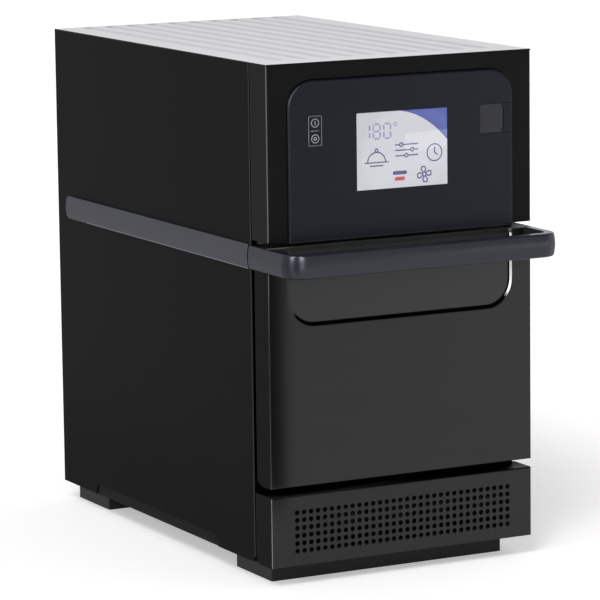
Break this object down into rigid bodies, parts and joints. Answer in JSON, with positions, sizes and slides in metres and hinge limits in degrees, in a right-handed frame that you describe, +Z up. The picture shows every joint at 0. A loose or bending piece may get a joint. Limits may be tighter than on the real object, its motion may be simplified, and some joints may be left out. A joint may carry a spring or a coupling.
{
  "type": "speed oven",
  "caption": "Tall narrow countertop speed oven with a drop-down door, loop handle, touch display, pull-off filter cover and a stirred microwave and hot air cavity.",
  "frame": {"origin": "on the worktop, under the middle of the oven's whole box, handle and cable gland included", "axes": "+X to the right as the cook faces the oven, +Y from the door towards the back, +Z up"},
  "size_m": [0.366, 0.673, 0.62],
  "materials": {
    "case_black": "satin black powder coat",
    "door_black": "black steel with a horizontal brushed grain",
    "bezel_black": "smooth satin black",
    "foot_black": "satin black",
    "top_steel": "pale satin steel sheet",
    "stainless": "brushed stainless steel",
    "zinc_steel": "zinc plated steel sheet",
    "fascia_plastic": "fine textured dark blue grey",
    "handle_plastic": "satin dark grey",
    "strip_plastic": "satin grey",
    "black_plastic": "moulded black",
    "flap_plastic": "satin dark grey",
    "display_glass": "clear flush glass",
    "display_panel": "lit screen",
    "circuit_board": "green laminate",
    "seal_rubber": "soft grey silicone",
    "wool": "mineral wool",
    "ceramic": "fired ceramic plate",
    "element_steel": "heat darkened tube",
    "core_iron": "varnished laminations",
    "filter_metal": "mill finish screen",
    "cook_plate_black": "dark non-stick coat"
  },
  "bodies": {
    "casing": {"base_pan": "case_black", "front_foot": "foot_black", "rear_foot": "foot_black", "side_panel_left": "case_black", "side_panel_right": "case_black", "trim_strip_left": "strip_plastic", "trim_strip_right": "strip_plastic", "top_cover": "top_steel", "rear_panel": "case_black", "rear_panel_screws": "zinc_steel", "front_frame": "stainless", "front_bezel": "bezel_black", "control_fascia": "fascia_plastic", "display_glass": "display_glass", "display_module": "display_panel", "control_board": "circuit_board", "power_switch_body": "black_plastic", "usb_flap_tab": "flap_plastic", "usb_socket": "zinc_steel", "hinge_brackets": "zinc_steel", "interlock_switches": "black_plastic", "filter_magnets": "core_iron", "oven_cavity": "stainless", "impinger_plate": "stainless", "fan_baffle": "stainless", "ceramic_floor": "ceramic", "convection_motor": "core_iron", "heating_element": "element_steel", "temperature_sensor": "stainless", "cavity_insulation": "wool", "cavity_supports": "zinc_steel", "waveguide": "zinc_steel", "magnetron": "zinc_steel", "stirrer_motor": "zinc_steel", "hv_transformer": "core_iron", "hv_capacitor": "zinc_steel", "mains_filter": "zinc_steel", "cooling_fan_frame": "black_plastic", "component_tray": "zinc_steel", "relay_board": "circuit_board", "exhaust_duct": "stainless", "catalyst": "element_steel", "mains_gland": "black_plastic"},
    "door": {"door_skin": "door_black", "door_inner_panel": "stainless", "door_insulation": "wool", "door_seal": "seal_rubber", "door_hinge_blocks": "zinc_steel", "door_hinge_pins": "zinc_steel", "interlock_tongues": "zinc_steel", "door_handle": "handle_plastic"},
    "filter_cover": {"filter_cover": "door_black", "air_filter": "filter_metal"},
    "usb_flap": {"usb_flap": "flap_plastic"},
    "power_rocker": {"power_rocker": "fascia_plastic"},
    "convection_fan": {"convection_impeller": "stainless", "convection_shaft": "stainless"},
    "cooling_fan": {"cooling_fan_rotor": "black_plastic"},
    "stirrer": {"stirrer": "stainless"},
    "cook_plate": {"cook_plate": "cook_plate_black"}
  },
  "joints": [
    {"name": "door_hinge", "type": "hinge", "parent": "casing", "child": "door", "pos_m": [0, -0.2505, 0.1406], "axis": [1, 0, 0], "range_deg": [0, 90], "stiffness_Nm_per_rad": 3, "springref_deg": -20.05},
    {"name": "filter_cover_pull", "type": "slide", "parent": "casing", "child": "filter_cover", "axis": [0, -1, 0], "range_m": [0, 0.06]},
    {"name": "usb_flap_hinge", "type": "hinge", "parent": "casing", "child": "usb_flap", "pos_m": [0.1367, -0.2726, 0.54], "axis": [0, 0, 1], "range_deg": [0, 90]},
    {"name": "power_rocker_tilt", "type": "hinge", "parent": "casing", "child": "power_rocker", "pos_m": [-0.1159, -0.2675, 0.54], "axis": [1, 0, 0], "range_deg": [-3, 3], "stiffness_Nm_per_rad": 0.02},
    {"name": "convection_fan_spin", "type": "hinge", "parent": "casing", "child": "convection_fan", "pos_m": [0, 0.1295, 0.2755], "axis": [0, 1, 0], "continuous": true},
    {"name": "cooling_fan_spin", "type": "hinge", "parent": "casing", "child": "cooling_fan", "pos_m": [0, -0.2045, 0.086], "axis": [0, 1, 0], "continuous": true},
    {"name": "stirrer_spin", "type": "hinge", "parent": "casing", "child": "stirrer", "pos_m": [0, -0.06375, 0.155], "axis": [0, 0, 1], "continuous": true},
    {"name": "cook_plate_lift", "type": "slide", "parent": "casing", "child": "cook_plate", "axis": [0, 0, 1], "range_m": [0, 0.015]}
  ]
}
